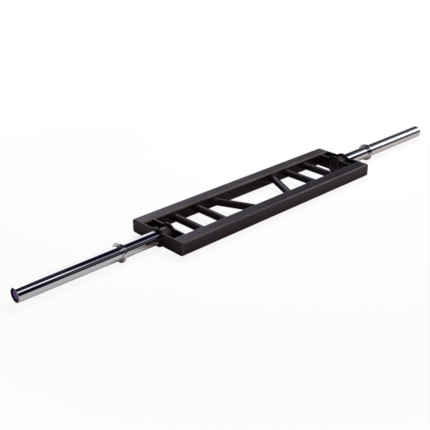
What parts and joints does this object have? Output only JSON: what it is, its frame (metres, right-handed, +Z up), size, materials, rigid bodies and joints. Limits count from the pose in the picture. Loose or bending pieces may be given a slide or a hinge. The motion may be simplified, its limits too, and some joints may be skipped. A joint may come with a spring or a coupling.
{
  "type": "triceps bar",
  "caption": "Long weight bar with a flat welded frame of square rails, straight and angled cross handles, and a turning chrome sleeve with a collar at each end.",
  "frame": {"origin": "middle of the bar, on the axis that both sleeves turn about, which is also the mid height of the frame", "axes": "+X along the bar to the right-hand sleeve, +Z up out of the flat frame, and -Y towards the front rail, where the angled handles come closest together"},
  "size_m": [2.1, 0.26, 0.072],
  "materials": {
    "powder_coat": "satin",
    "chrome_plate": "polished",
    "bright_steel": "turned",
    "bronze": "turned",
    "black_nylon": "matte",
    "black_plastic": "satin",
    "purple_plastic": "gloss"
  },
  "bodies": {
    "frame": {"front_rail": "powder_coat", "back_rail": "powder_coat", "left_outer_plate": "powder_coat", "right_outer_plate": "powder_coat", "left_inner_plate": "powder_coat", "right_inner_plate": "powder_coat", "left_outer_handle": "powder_coat", "left_middle_handle": "powder_coat", "left_angled_handle": "powder_coat", "right_angled_handle": "powder_coat", "right_middle_handle": "powder_coat", "right_outer_handle": "powder_coat", "left_boss": "powder_coat", "right_boss": "powder_coat", "left_stub_shaft": "bright_steel", "right_stub_shaft": "bright_steel", "left_retaining_washer": "bright_steel", "right_retaining_washer": "bright_steel", "left_circlip": "bright_steel", "right_circlip": "bright_steel", "left_thrust_washer": "black_nylon", "right_thrust_washer": "black_nylon"},
    "left_sleeve": {"left_sleeve_tube": "chrome_plate", "left_collar": "chrome_plate", "left_inner_bush": "bronze", "left_outer_bush": "bronze", "left_end_cap": "black_plastic", "left_cap_disc": "purple_plastic"},
    "right_sleeve": {"right_sleeve_tube": "chrome_plate", "right_collar": "chrome_plate", "right_inner_bush": "bronze", "right_outer_bush": "bronze", "right_end_cap": "black_plastic", "right_cap_disc": "purple_plastic"}
  },
  "joints": [
    {"name": "left_sleeve_turn", "type": "hinge", "parent": "frame", "child": "left_sleeve", "pos_m": [-0.7785, 0, 0], "axis": [1, 0, 0], "continuous": true},
    {"name": "right_sleeve_turn", "type": "hinge", "parent": "frame", "child": "right_sleeve", "pos_m": [0.7785, 0, 0], "axis": [1, 0, 0], "continuous": true}
  ]
}
